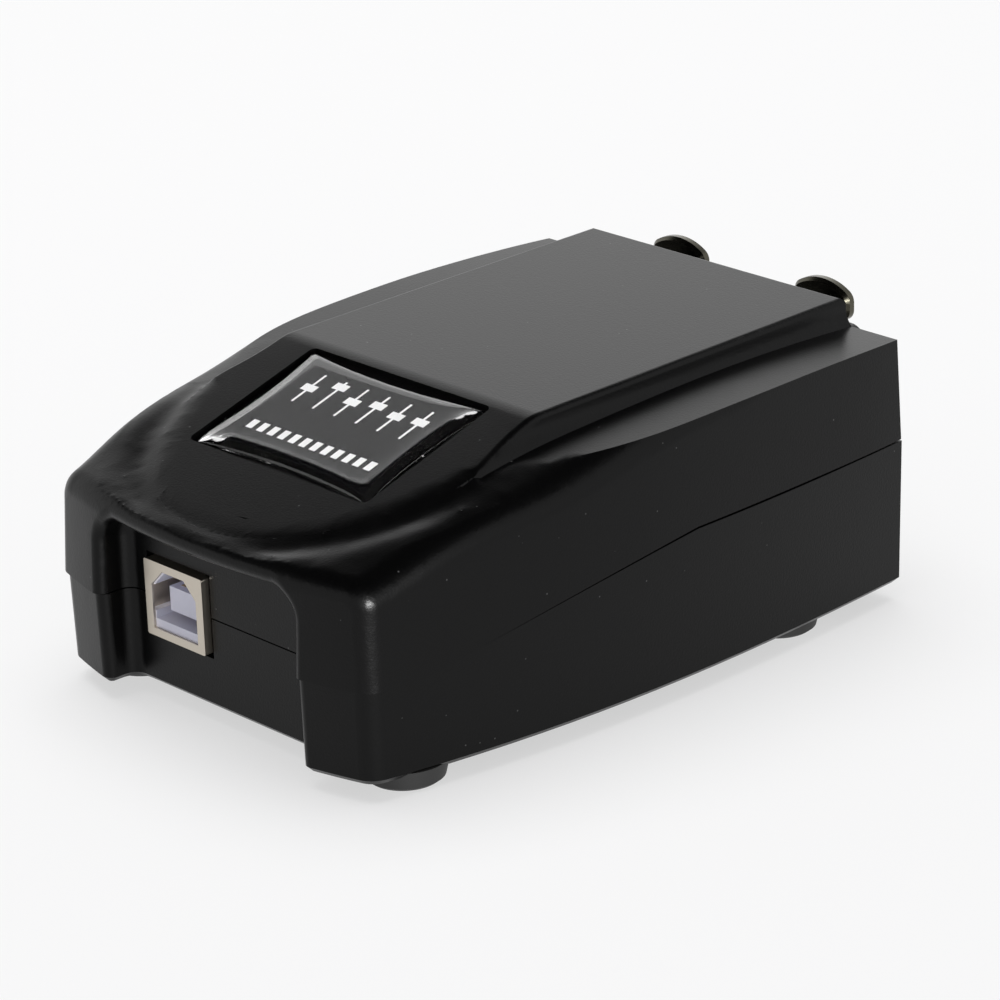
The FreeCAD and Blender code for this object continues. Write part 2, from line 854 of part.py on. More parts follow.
def gull_pin(edge, along, direction, width):
    """Pin of a chip from its side down to the board. The pin leaves along X or Y."""
    reach = chip_pin_reach
    level = board_top + chip_height / 2
    low = board_top
    far = edge + direction * reach
    near, end = sorted((edge - direction * width, far))
    across = (along - width / 2, along + width / 2)
    shoulder = ((near, end), across, (level - width / 2, level + width / 2))
    drop_low, drop_high = sorted((far, far - direction * width))
    drop = ((drop_low, drop_high), across, (low, level + width / 2))
    return shoulder, drop


def chip(centre_x, centre_y, width, length, pitch, count, all_round):
    """Flat chip with a row of bent pins on two or on all four sides."""
    body = block((centre_x - width / 2, centre_x + width / 2),
                 (centre_y - length / 2, centre_y + length / 2),
                 (board_top + chip_pin_width / 2, board_top + chip_height))
    top = [e for e in body.Edges if e.BoundBox.ZMin > board_top + chip_height / 2]
    body = body.makeChamfer(chip_pin_width / 2, top)
    pins = []
    for i in range(count):
        step = (i - (count - 1) / 2) * pitch
        for sign in (-1, 1):
            for box in gull_pin(centre_x + sign * width / 2, centre_y + step, sign, chip_pin_width):
                pins.append(block(*box))
            if all_round:
                for x_span, y_span, z_span in gull_pin(centre_y + sign * length / 2,
                                                       centre_x + step, sign, chip_pin_width):
                    pins.append(block(y_span, x_span, z_span))
    return body.multiFuse(pins)


def microcontroller():
    x_share, y_share = chip_place_shares
    return chip(2 * board_half_width * x_share, board_front + board_length * y_share,
                chip_side, chip_side, chip_pin_pitch, chip_pins_per_side, True)


def line_driver(x):
    return chip(x, board_front + board_length * driver_place_share, driver_width, driver_length,
                driver_pin_pitch, driver_pins_per_side, False)


def crystal_can():
    x_share, y_share = crystal_place_shares
    x = 2 * board_half_width * x_share
    y = board_front + board_length * y_share
    half = (crystal_length - crystal_width) / 2
    flat = crystal_width / 2
    side = Part.makeLine(V(x - flat, y + half, board_top), V(x - flat, y - half, board_top))
    other = Part.makeLine(V(x + flat, y - half, board_top), V(x + flat, y + half, board_top))
    low = Part.Arc(side.Vertexes[1].Point, V(x, y - half - flat, board_top),
                   other.Vertexes[0].Point).toShape()
    high = Part.Arc(other.Vertexes[1].Point, V(x, y + half + flat, board_top),
                    side.Vertexes[0].Point).toShape()
    can = Part.Face(Part.Wire([side, low, other, high])).extrude(V(0, 0, crystal_height))
    rim = [e for e in can.Edges if e.BoundBox.ZMin > board_top + crystal_height / 2]
    return can.makeChamfer(usb_skin, rim)


def capacitors():
    cans = []
    for x in (board_half_width / 2, board_half_width / 2 + 2 * capacitor_radius + wall / 2):
        y = board_front + board_length * capacitor_place_share
        can = rod(capacitor_radius, V(x, y, board_top), V(x, y, board_top + capacitor_height))
        rim = [e for e in can.Edges if e.BoundBox.ZMin > board_top + capacitor_height / 2]
        cans.append(can.makeChamfer(usb_skin, rim))
    return cans


def wire_header(x):
    """Open-topped plug header with three posts."""
    y = board_front + board_length - header_depth
    half = header_width / 2
    cup = block((x - half, x + half), (y - header_depth / 2, y + header_depth / 2),
                (board_top, board_top + header_height))
    inner = block((x - half + header_wall, x + half - header_wall),
                  (y - header_depth / 2 + header_wall, y + header_depth / 2 - header_wall),
                  (board_top + header_wall, board_top + header_height + overrun))
    cup = cup.cut(inner)
    for i in (-1, 0, 1):
        post_x = x + i * contact_pitch
        post = block((post_x - contact_thickness, post_x + contact_thickness),
                     (y - contact_thickness, y + contact_thickness),
                     (board_top + header_wall, board_top + header_height - header_wall))
        cup = cup.fuse(post)
    return cup


def pan_screw(place, along, radius, length, head_radius, head_height):
    """Pan head screw with a cross slot. Its head sits on the place, its shank runs along."""
    shank = rod(radius, V(0, 0, 0), V(0, 0, length))
    head = rod(head_radius, V(0, 0, -head_height), V(0, 0, 0))
    rim = [e for e in head.Edges if e.BoundBox.ZMax < -head_height / 2]
    head = head.makeChamfer(head_height / 2, rim)
    for turn in (0, 90):
        arm = block((-head_radius / 2, head_radius / 2), (-cross_slot_width / 2, cross_slot_width / 2),
                    (-head_height - overrun, -head_height / 2))
        arm.rotate(V(0, 0, 0), V(0, 0, 1), turn)
        head = head.cut(arm)
    screw = head.fuse(shank)
    screw.Placement = FreeCAD.Placement(place, FreeCAD.Rotation(V(0, 0, 1), along))
    return screw


def case_screws():
    screws = []
    for place in case_posts():
        seat = base_z + case_seat_height
        length = post_join(place) + case_screw_bite - seat
        screws.append(pan_screw(V(place.x, place.y, seat), V(0, 0, 1), case_screw_radius, length,
                                case_head_radius, case_head_height))
    return screws


def board_screws():
    length = board_top - floor_z - screw_gap
    return [pan_screw(V(place.x, place.y, board_top), V(0, 0, -1), board_screw_radius, length,
                      board_head_radius, board_head_height) for place in board_holes()]


def socket_screws():
    return [pan_screw(V(place.x, rear_y + flange_thickness, place.z), V(0, -1, 0),
                      flange_screw_radius, flange_screw_length, flange_head_radius,
                      flange_head_height) for place in flange_bosses()]


def socket_housing(x):
    """Die-cast panel socket: flange, barrel and the box over the latch."""
    half_w = flange_width / 2
    half_h = flange_height / 2
    face = rear_y + flange_thickness
    flange = block((x - half_w, x + half_w), (rear_y, face), (socket_z - half_h, socket_z + half_h))
    corners = [e for e in flange.Edges if e.BoundBox.YLength > flange_thickness / 2]
    flange = flange.makeFillet(flange_corner_radius, corners)
    barrel = rod(barrel_radius, V(x, rear_y - barrel_length, socket_z), V(x, rear_y, socket_z))
    box = block((x - latch_box_half_width, x + latch_box_half_width),
                (rear_y - latch_slot_depth - flange_thickness, rear_y),
                (socket_z, socket_z + latch_box_height))
    casting = flange.fuse(barrel).fuse(box)
    bore = rod(socket_bore_radius, V(x, face - socket_bore_depth, socket_z), V(x, face + overrun, socket_z))
    slot = block((x - latch_slot_half_width, x + latch_slot_half_width),
                 (rear_y - latch_slot_depth, face + overrun),
                 (socket_z, socket_z + latch_slot_height))
    casting = casting.cut(bore).cut(slot.cut(rod(socket_bore_radius, V(x, rear_y - barrel_length, socket_z),
                                                 V(x, face + overrun, socket_z))))
    notch = block((x - latch_slot_half_width, x + latch_slot_half_width), (rear_y, face + overrun),
                  (socket_z + socket_bore_radius, socket_z + flange_height))
    casting = casting.cut(notch)
    for place in flange_bosses():
        hole = rod(flange_screw_radius + screw_gap, V(place.x, rear_y - overrun, place.z),
                   V(place.x, face + overrun, place.z))
        casting = casting.cut(hole)
    for place in contact_places(x):
        tail = rod(solder_cup_radius + insert_fit, V(place.x, rear_y - barrel_length - overrun, place.z),
                   V(place.x, face, place.z))
        casting = casting.cut(tail)
    return casting.cut(pivot_rod(x, pivot_radius + pivot_seat_fit, latch_box_half_width + overrun))


def contact_places(x):
    """Three contacts: two level with the middle and one below it."""
    radius = contact_circle_radius
    return [V(x - radius, rear_y, socket_z), V(x + radius, rear_y, socket_z),
            V(x, rear_y, socket_z - radius)]


def pivot_rod(x, radius, half_length):
    y = rear_y - pivot_inset
    z = socket_z + pivot_height
    return rod(radius, V(x - half_length, y, z), V(x + half_length, y, z))


def socket_insert(x):
    """Black moulded insert that holds the contacts on the socket's axis."""
    floor_y = rear_y + flange_thickness - socket_bore_depth
    tip_y = rear_y + flange_thickness - insert_recess
    core = rod(insert_radius, V(x, floor_y, socket_z), V(x, tip_y, socket_z))
    base = rod(socket_bore_radius - insert_fit, V(x, floor_y, socket_z),
               V(x, floor_y + insert_base, socket_z))
    body = core.fuse(base)
    for place in contact_places(x):
        body = body.cut(rod(sleeve_radius + sleeve_fit, V(place.x, floor_y - overrun, place.z),
                            V(place.x, tip_y + overrun, place.z)))
    return body


def socket_contacts(x):
    """Turned contact sleeves, each with its solder cup behind the socket."""
    floor_y = rear_y + flange_thickness - socket_bore_depth
    tip_y = rear_y + flange_thickness - insert_recess
    cup_y = rear_y - barrel_length - solder_cup_length
    contacts = []
    for place in contact_places(x):
        sleeve = rod(sleeve_radius, V(place.x, floor_y, place.z), V(place.x, tip_y, place.z))
        stem = rod(solder_cup_radius, V(place.x, cup_y, place.z), V(place.x, floor_y, place.z))
        bore = rod(pin_bore_radius, V(place.x, tip_y - pin_bore_length, place.z),
                   V(place.x, tip_y + overrun, place.z))
        cup = rod(solder_cup_radius - usb_skin, V(place.x, cup_y - overrun, place.z),
                  V(place.x, cup_y + solder_cup_length / 2, place.z))
        contacts.append(sleeve.fuse(stem).cut(bore).cut(cup))
    return contacts


def latch_lever(x):
    """Rocking lever: thumb tab outside, pivot boss in the middle, hook inside."""
    low = socket_z + lever_bottom
    high = low + lever_thickness
    inner = rear_y - lever_inner_reach
    outer = rear_y + lever_outer_reach
    arm = block((x - lever_half_width, x + lever_half_width), (inner, outer + tab_thickness / 2),
                (low, high))
    boss = pivot_rod(x, pivot_boss_radius, lever_half_width)
    hook = block((x - hook_half_width, x + hook_half_width), (inner, inner + hook_length),
                 (low - hook_drop, low + lever_thickness / 2))
    nose = [e for e in hook.Edges if e.BoundBox.ZMax < low and e.BoundBox.YMin > inner + hook_length / 2]
    hook = hook.makeChamfer(hook_length / 2, nose)
    tab_low = socket_z + tab_bottom
    tab_high = tab_low + tab_height
    side = tab_high - tab_arch
    corners = [V(x - tab_half_width, outer, tab_low), V(x + tab_half_width, outer, tab_low),
               V(x + tab_half_width, outer, side), V(x - tab_half_width, outer, side)]
    tab = Part.Face(Part.Wire([
        Part.makeLine(corners[0], corners[1]), Part.makeLine(corners[1], corners[2]),
        Part.Arc(corners[2], V(x, outer, tab_high), corners[3]).toShape(),
        Part.makeLine(corners[3], corners[0])])).extrude(V(0, tab_thickness, 0))
    ends = [e for e in tab.Edges if e.BoundBox.YLength > tab_thickness / 2]
    tab = tab.makeFillet(tab_corner_radius, ends)
    rims = [e for e in tab.Edges if e.BoundBox.YLength < tab_thickness / 2]
    tab = tab.makeChamfer(tab_edge_chamfer, rims)
    lever = arm.fuse(boss).fuse(hook).fuse(tab)
    return lever.cut(pivot_rod(x, pivot_radius + pivot_fit, latch_box_half_width + overrun))


def latch_spring(x):
    """Bent leaf between the roof of the latch slot and the lever's inner end."""
    roof = socket_z + latch_slot_height
    touch = socket_z + lever_bottom + lever_thickness + spring_gap
    start = rear_y - pivot_inset - pivot_boss_radius
    end = start - spring_reach
    middle = (start + end) / 2
    thick = V(0, 0, -spring_thickness)
    top = [V(0, start, roof), V(0, middle, roof - (roof - touch) * spring_bend_share), V(0, end, touch + spring_thickness)]
    low = [point + thick for point in top]
    face = Part.Face(Part.Wire([
        Part.Arc(*top).toShape(), Part.makeLine(top[2], low[2]),
        Part.Arc(*reversed(low)).toShape(), Part.makeLine(low[0], top[0])]))
    face.translate(V(x - spring_half_width, 0, 0))
    return face.extrude(V(2 * spring_half_width, 0, 0))


def one_shape(shapes):
    return Part.makeCompound(shapes)


def export(name, shape):
    shape.exportStep("parts/" + name + ".step")


def build():
    os.makedirs("parts", exist_ok=True)
    export("upper_housing", upper_housing())
    export("lower_housing", lower_housing())
    film, dome = label_parts()
    export("label_film", film)
    export("label_dome", dome)
    export("usb_shell", usb_shell())
    export("usb_insulator", usb_insulator())
    export("usb_contacts", one_shape(usb_contact_bars()))
    export("circuit_board", circuit_board())
    export("microcontroller", microcontroller())
    export("crystal", crystal_can())
    export("capacitors", one_shape(capacitors()))
    export("case_screws", one_shape(case_screws()))
    export("board_screws", one_shape(board_screws()))
    export("socket_screws", one_shape(socket_screws()))
    for side, x in (("left", -socket_offset), ("right", socket_offset)):
        inboard = math.copysign(header_offset, x)
        export(side + "_line_driver", line_driver(inboard))
        export(side + "_wire_header", wire_header(inboard))
        export(side + "_socket_housing", socket_housing(x))
        export(side + "_socket_insert", socket_insert(x))
        export(side + "_socket_contacts", one_shape(socket_contacts(x)))
        export(side + "_latch_lever", latch_lever(x))
        export(side + "_latch_pin", pivot_rod(x, pivot_radius, latch_box_half_width))
        export(side + "_latch_spring", latch_spring(x))
    names = ("front_left_foot", "front_right_foot", "rear_left_foot", "rear_right_foot")
    for name, place in zip(names, foot_places()):
        export(name, foot(place))


build()
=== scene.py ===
import math

import bmesh
import bpy
from mathutils import Matrix, Vector


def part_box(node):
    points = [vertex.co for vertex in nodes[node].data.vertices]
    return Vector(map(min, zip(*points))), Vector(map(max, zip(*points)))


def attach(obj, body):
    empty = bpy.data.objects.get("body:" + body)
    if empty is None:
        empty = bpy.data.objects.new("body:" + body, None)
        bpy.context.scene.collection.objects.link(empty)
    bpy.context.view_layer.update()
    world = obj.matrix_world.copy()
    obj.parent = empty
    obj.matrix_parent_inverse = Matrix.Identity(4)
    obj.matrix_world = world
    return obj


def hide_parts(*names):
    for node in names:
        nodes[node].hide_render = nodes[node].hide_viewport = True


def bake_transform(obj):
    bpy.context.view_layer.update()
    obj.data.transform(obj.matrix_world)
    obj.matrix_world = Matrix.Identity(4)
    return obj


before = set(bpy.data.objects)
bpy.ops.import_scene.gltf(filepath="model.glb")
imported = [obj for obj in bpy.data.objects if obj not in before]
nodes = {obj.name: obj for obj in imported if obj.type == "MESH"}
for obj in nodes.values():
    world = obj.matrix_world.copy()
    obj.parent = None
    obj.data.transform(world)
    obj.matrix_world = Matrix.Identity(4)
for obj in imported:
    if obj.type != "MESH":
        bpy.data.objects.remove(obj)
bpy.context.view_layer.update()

# Lower shell of the case: moulded black ABS, satin with a fine spark-eroded grain and a few specks
# of dust. Both shells come from one mould set, so the upper shell below takes the same finish.
grain_size = 0.00032
grain_depth = 0.00002
case_black = (0.0015, 0.0015, 0.0016, 1)
case_roughness = 0.3
case_sheen = 0.15
speck_spacing = 0.0034
speck_reach = 0.045
speck_colour = (0.16, 0.16, 0.16, 1)


def new_finish(name, colour, roughness, metallic=0.0):
    """A finish named for its piece, with its node tree and its shader."""
    finish = bpy.data.materials.new(name)
    finish.use_nodes = True
    tree = finish.node_tree
    shader = tree.nodes["Principled BSDF"]
    shader.inputs["Base Color"].default_value = colour
    shader.inputs["Roughness"].default_value = roughness
    shader.inputs["Metallic"].default_value = metallic
    return finish, tree, shader


def on_object(tree):
    return tree.nodes.new("ShaderNodeTexCoord").outputs["Object"]


def noise(tree, size):
    """Noise whose bumps are about as wide as the size."""
    node = tree.nodes.new("ShaderNodeTexNoise")
    node.inputs["Scale"].default_value = 1 / size
    tree.links.new(on_object(tree), node.inputs["Vector"])
    return node.outputs["Fac"]


def add_bump(tree, shader, height, depth):
    node = tree.nodes.new("ShaderNodeBump")
    node.inputs["Distance"].default_value = depth
    tree.links.new(height, node.inputs["Height"])
    tree.links.new(node.outputs["Normal"], shader.inputs["Normal"])


def add_specks(tree, shader):
    """Lighter specks, one near the middle of each cell of the pattern."""
    cells = tree.nodes.new("ShaderNodeTexVoronoi")
    cells.inputs["Scale"].default_value = 1 / speck_spacing
    tree.links.new(on_object(tree), cells.inputs["Vector"])
    mask = tree.nodes.new("ShaderNodeMapRange")
    mask.inputs["From Max"].default_value = speck_reach
    mask.inputs["To Min"].default_value = 1.0
    mask.inputs["To Max"].default_value = 0.0
    tree.links.new(cells.outputs["Distance"], mask.inputs["Value"])
    dusty = tree.nodes.new("ShaderNodeMix")
    dusty.data_type = "RGBA"
    dusty.inputs["A"].default_value = case_black
    dusty.inputs["B"].default_value = speck_colour
    tree.links.new(mask.outputs["Result"], dusty.inputs["Factor"])
    tree.links.new(dusty.outputs["Result"], shader.inputs["Base Color"])


def give(finish, *names):
    for name in names:
        nodes[name].data.materials.clear()
        nodes[name].data.materials.append(finish)


case_finish, tree, shader = new_finish("satin black case", case_black, case_roughness)
shader.inputs["Specular IOR Level"].default_value = case_sheen
add_bump(tree, shader, noise(tree, grain_size), grain_depth)
add_specks(tree, shader)
give(case_finish, "lower_housing")

# Upper shell of the case, with the soft moat that runs round the front of the tongue. The mould
# blends the tongue into the hood there. The shell's own form is cut finer along that rim, sunk and
# smoothed, and the rest of it stays as it is.
merge_reach = 0.000001
upward_level = 0.5
moat_centre = -0.022
moat_half_width = 0.0275
moat_half_length = 0.0295
moat_reach = (-0.0015, 0.0045)
moat_depth = 0.0009
moat_front_fade = (-0.0532, -0.0497)
moat_rear_fade = (-0.026, -0.036)
moat_lowest = 0.0265
moat_step = 0.0007
moat_splits = 6
soft_reach = (-0.0035, 0.0065)
wide_reach = (soft_reach[0] - moat_step, soft_reach[1] + moat_step)
soft_level = 0.86
step_reach = 0.0016
soft_rounds = 40
soft_share = 0.5
crease_angle = math.radians(28)


def eased(value, start, end):
    """Zero at the start, one at the end, with level ends."""
    share = min(max((value - start) / (end - start), 0), 1)
    return share * share * (3 - 2 * share)


def past_rim(place):
    """How far outside the tongue's rim a place lies, seen from above."""
    share = math.hypot(place.x / moat_half_width, (place.y - moat_centre) / moat_half_length)
    return (share - 1) * (moat_half_width + moat_half_length) / 2


def moat_dip(place):
    """How deep the moat is at a place: deepest between its two reaches, and faded at its ends."""
    fades = eased(place.y, *moat_front_fade) * eased(place.y, *moat_rear_fade)
    start, end = moat_reach
    share = min(max((past_rim(place) - start) / (end - start), 0), 1)
    return moat_depth * fades * math.sin(math.pi * share) ** 2


def near_rim(place, reach):
    if place.z <= moat_lowest or place.y >= moat_rear_fade[0]:
        return False
    return reach[0] < past_rim(place) < reach[1]


def long_edges_near_rim(form):
    """Edges on the shell's upper side that are longer than a step and pass near the rim."""
    found = []
    for edge in form.edges:
        length = edge.calc_length()
        if length < moat_step or sum(face.normal.z for face in edge.link_faces) < 2 * upward_level:
            continue
        start, end = (vert.co for vert in edge.verts)
        parts = int(length / moat_step) + 1
        if any(near_rim(start.lerp(end, part / parts), wide_reach) for part in range(parts + 1)):
            found.append(edge)
    return found


def doubled_faces(form):
    """Faces that share all their corners with another face, which leaves nothing between the two."""
    groups = {}
    for face in form.faces:
        groups.setdefault(frozenset(face.verts), []).append(face)
    return [face for group in groups.values() if len(group) > 1 for face in group]


def merged_form(name):
    """A copy of a node's form with its loose triangles joined."""
    form = bmesh.new()
    form.from_mesh(nodes[name].data)
    bmesh.ops.remove_doubles(form, verts=form.verts, dist=merge_reach)
    return form


def add_object(name, data):
    made = bpy.data.objects.new(name, data)
    bpy.context.scene.collection.objects.link(made)
    return made


def piece_of(form, name, finish):
    """A piece made of a finished form, which is used up."""
    mesh = bpy.data.meshes.new(name)
    form.to_mesh(mesh)
    form.free()
    mesh.materials.clear()
    mesh.materials.append(finish)
    return add_object(name, mesh)


def plain_mesh(piece):
    """The piece's mesh as its modifiers leave it."""
    bpy.context.view_layer.update()
    evaluated = piece.evaluated_get(bpy.context.evaluated_depsgraph_get())
    return bpy.data.meshes.new_from_object(evaluated)


form = merged_form("upper_housing")
for turn in range(moat_splits):
    bmesh.ops.subdivide_edges(form, edges=long_edges_near_rim(form), cuts=1)
    bmesh.ops.triangulate(form, faces=[face for face in form.faces if len(face.verts) > 3])
bmesh.ops.delete(form, geom=doubled_faces(form), context="FACES")
form.normal_update()
moved = [vert for vert in form.verts
         if vert.normal.z > upward_level and near_rim(vert.co, wide_reach)]
for vert in moved:
    vert.co.z -= moat_dip(vert.co)
form.normal_update()
softened = [vert for vert in moved if near_rim(vert.co, soft_reach)
            and (vert.normal.z > soft_level or past_rim(vert.co) < step_reach)]
for turn in range(soft_rounds):
    bmesh.ops.smooth_vert(form, verts=softened, factor=soft_share,
                          use_axis_x=True, use_axis_y=True, use_axis_z=True)
soft_verts = set(softened)
for edge in form.edges:
    edge.smooth = edge.calc_face_angle(0) < crease_angle or soft_verts.issuperset(edge.verts)
for face in form.faces:
    face.smooth = True
upper_shell = piece_of(form, "moulded_upper_shell", case_finish)
weighting = upper_shell.modifiers.new("even shading", "WEIGHTED_NORMAL")
weighting.keep_sharp = True
evened = plain_mesh(upper_shell)
upper_shell.modifiers.clear()
upper_shell.data = evened
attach(upper_shell, "case")
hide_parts("upper_housing")

# Label film: black printed film, glued into the shallow pocket on the tongue. It has no gloss of
# its own, because the resin is poured straight on it.
film_black = (0.0025, 0.0025, 0.003, 1)
film_roughness = 0.3
film_thickness = 0.00015
no_gloss = 0.0
label_slope = math.radians(16.9)

film_finish, tree, shader = new_finish("printed black film", film_black, film_roughness)
shader.inputs["Specular IOR Level"].default_value = no_gloss
give(film_finish, "label_film")

low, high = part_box("label_film")
label_half_width = (high.x - low.x) / 2
label_length = ((high.y - low.y) - film_thickness * math.sin(label_slope)) / math.cos(label_slope)
label_half_length = label_length / 2
label_place = Matrix.Translation((low + high) / 2) @ Matrix.Rotation(label_slope, 4, "X")


def on_label(across, along, out):
    """Place on the label: across it, up the slope and out of it, from the film's top."""
    return label_place @ Vector((across, along, film_thickness / 2 + out))


# Label ink: white ink on the film, a row of six fader signs above a row of twelve keys. They stand
# in for the printed words, which aren't copied. One node tree lays each row of equal bars.
ink_white = (0.9, 0.9, 0.9, 1)
ink_roughness = 0.5
ink_lift = 0.000004
ink_thickness = 0.00001
fader_count = 6
fader_pitch = 0.0043
fader_row = 0.0044
fader_length = 0.0066
track_width = 0.0004
knob_width = 0.0025
knob_length = 0.0014
knob_thickness = 0.000012
knob_travel = 0.0042
knob_seed = 5
key_count = 12
key_pitch = 0.00215
key_row = -0.0052
key_width = 0.0012
key_length = 0.0018


def row_of_bars():
    """Node tree that lays a row of equal bars, each shifted along its length by chance."""
    tree = bpy.data.node_groups.new("printed row", "GeometryNodeTree")
    tree.interface.new_socket("Geometry", in_out="OUTPUT", socket_type="NodeSocketGeometry")
    for name in ("Count", "Seed"):
        tree.interface.new_socket(name, in_out="INPUT", socket_type="NodeSocketInt")
    for name in ("Pitch", "Row", "Travel", "Width", "Length", "Thickness"):
        tree.interface.new_socket(name, in_out="INPUT", socket_type="NodeSocketFloat")
    tree.interface.new_socket("Ink", in_out="INPUT", socket_type="NodeSocketMaterial")
    given = tree.nodes.new("NodeGroupInput").outputs
    result = tree.nodes.new("NodeGroupOutput").inputs["Geometry"]

    def add(kind, **links):
        node = tree.nodes.new(kind)
        for name, source in links.items():
            tree.links.new(source, node.inputs[name.replace("_", " ")])
        return node

    def maths(operation, first, second):
        node = tree.nodes.new("ShaderNodeMath")
        node.operation = operation
        for socket, value in zip(node.inputs, (first, second)):
            if isinstance(value, (int, float)):
                socket.default_value = value
            else:
                tree.links.new(value, socket)
        return node.outputs["Value"]

    gaps = maths("SUBTRACT", given["Count"], 1)
    start = maths("MULTIPLY", maths("MULTIPLY", gaps, given["Pitch"]), -0.5)
    first = add("ShaderNodeCombineXYZ", X=start, Y=given["Row"]).outputs["Vector"]
    step = add("ShaderNodeCombineXYZ", X=given["Pitch"]).outputs["Vector"]
    line = add("GeometryNodeMeshLine", Count=given["Count"], Start_Location=first, Offset=step)
    half_travel = maths("MULTIPLY", given["Travel"], 0.5)
    chance = tree.nodes.new("FunctionNodeRandomValue")
    chance.data_type = "FLOAT"
    chance_inputs = {socket.name: socket for socket in chance.inputs if socket.enabled}
    tree.links.new(maths("MULTIPLY", half_travel, -1), chance_inputs["Min"])
    tree.links.new(half_travel, chance_inputs["Max"])
    tree.links.new(given["Seed"], chance_inputs["Seed"])
    chosen = next(socket for socket in chance.outputs if socket.enabled)
    shift = add("ShaderNodeCombineXYZ", Y=chosen).outputs["Vector"]
    places = add("GeometryNodeSetPosition", Geometry=line.outputs["Mesh"], Offset=shift)
    size = add("ShaderNodeCombineXYZ", X=given["Width"], Y=given["Length"], Z=given["Thickness"])
    bar = add("GeometryNodeMeshCube", Size=size.outputs["Vector"])
    bars = add("GeometryNodeInstanceOnPoints",
               Points=places.outputs["Geometry"], Instance=bar.outputs["Mesh"])
    solid = add("GeometryNodeRealizeInstances", Geometry=bars.outputs["Instances"])
    inked = add("GeometryNodeSetMaterial", Geometry=solid.outputs["Geometry"], Material=given["Ink"])
    tree.links.new(inked.outputs["Geometry"], result)
    return tree


ink_finish, tree, shader = new_finish("white label ink", ink_white, ink_roughness)
shader.inputs["Specular IOR Level"].default_value = no_gloss
tracks = {"Count": fader_count, "Pitch": fader_pitch, "Row": fader_row, "Travel": 0.0, "Seed": 0,
          "Width": track_width, "Length": fader_length, "Thickness": ink_thickness}
knobs = {"Count": fader_count, "Pitch": fader_pitch, "Row": fader_row,
         "Travel": knob_travel, "Seed": knob_seed,
         "Width": knob_width, "Length": knob_length, "Thickness": knob_thickness}
keys = {"Count": key_count, "Pitch": key_pitch, "Row": key_row, "Travel": 0.0, "Seed": 0,
        "Width": key_width, "Length": key_length, "Thickness": ink_thickness}
row_tree = row_of_bars()
row_sockets = {item.name: item.identifier for item in row_tree.interface.items_tree
               if item.in_out == "INPUT"}
printed = bmesh.new()
for row in (tracks, knobs, keys):
    stand_in = add_object("printed row", bpy.data.meshes.new("printed row"))
    laying = stand_in.modifiers.new("printed row", "NODES")
    laying.node_group = row_tree
    laying[row_sockets["Ink"]] = ink_finish
    for name, value in row.items():
        laying[row_sockets[name]] = value
    printed.from_mesh(plain_mesh(stand_in))
    bpy.data.objects.remove(stand_in)
for vert in printed.verts:
    vert.co = on_label(vert.co.x, vert.co.y, ink_lift + vert.co.z + ink_thickness / 2)
ink = piece_of(printed, "label_ink", ink_finish)
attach(ink, "case")

# Label dome: clear resin poured on the film and cured there. It falls off steeply at its rims, and
# its edges draw inwards as the resin sets, so the corners stay pointed.
resin_clear = (1, 1, 1, 1)
resin_roughness = 0.04
resin_bending = 1.5
dome_lift = 0.00003
dome_height = 0.0011
dome_rims = (0.0005, 0.0011, 0.0013, 0.0005)
dome_rim_height = 0.0001
dome_steps = 48
edge_bow = 0.0012


def bowed(across_share, along_share):
    """Place in the label's outline, whose four edges bow inwards between the corners."""
    across = across_share * (label_half_width - edge_bow * (1 - along_share ** 2))
    along = along_share * (label_half_length - edge_bow * (1 - across_share ** 2))
    return across, along


def dome_rise(across_share, along_share):
    """Height of the dome's top over its rim. The rims are left, right, front and rear."""
    edges = ((1 + across_share) * label_half_width, (1 - across_share) * label_half_width,
             (1 + along_share) * label_half_length, (1 - along_share) * label_half_length)
    rise = dome_height
    for to_edge, rim in zip(edges, dome_rims):
        rise *= 1 - math.exp(-to_edge / rim)
    return rise


def dome_points():
    """Top then bottom grid of the dome."""
    tops, bottoms = [], []
    shares = [-1 + 2 * step / dome_steps for step in range(dome_steps + 1)]
    for along_share in shares:
        for across_share in shares:
            across, along = bowed(across_share, along_share)
            rise = dome_rise(across_share, along_share)
            tops.append(on_label(across, along, dome_lift + dome_rim_height + rise))
            bottoms.append(on_label(across, along, dome_lift))
    return tops + bottoms


def grid_shell_faces(steps):
    """Faces of a closed shell of two square grids, top then bottom."""
    across = steps + 1
    count = across * across
    faces = []
    for row in range(steps):
        for column in range(steps):
            a = row * across + column
            faces.append((a, a + 1, a + across + 1, a + across))
            faces.append((count + a, count + a + across, count + a + across + 1, count + a + 1))
    for step in range(steps):
        front, back = step, steps * across + step
        left, right = step * across, step * across + steps
        faces.append((front + 1, front, count + front, count + front + 1))
        faces.append((back, back + 1, count + back + 1, count + back))
        faces.append((left, left + across, count + left + across, count + left))
        faces.append((right + across, right, count + right, count + right + across))
    return faces


def mesh_piece(name, points, faces, finish, smooth):
    mesh = bpy.data.meshes.new(name)
    mesh.from_pydata([tuple(point) for point in points], [], faces)
    mesh.materials.append(finish)
    for face in mesh.polygons:
        face.use_smooth = smooth
    return add_object(name, mesh)


resin_finish, tree, shader = new_finish("clear label resin", resin_clear, resin_roughness)
shader.inputs["Transmission Weight"].default_value = 1.0
shader.inputs["IOR"].default_value = resin_bending
dome = mesh_piece("label_resin_dome", dome_points(), grid_shell_faces(dome_steps), resin_finish, True)
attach(dome, "case")
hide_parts("label_dome")

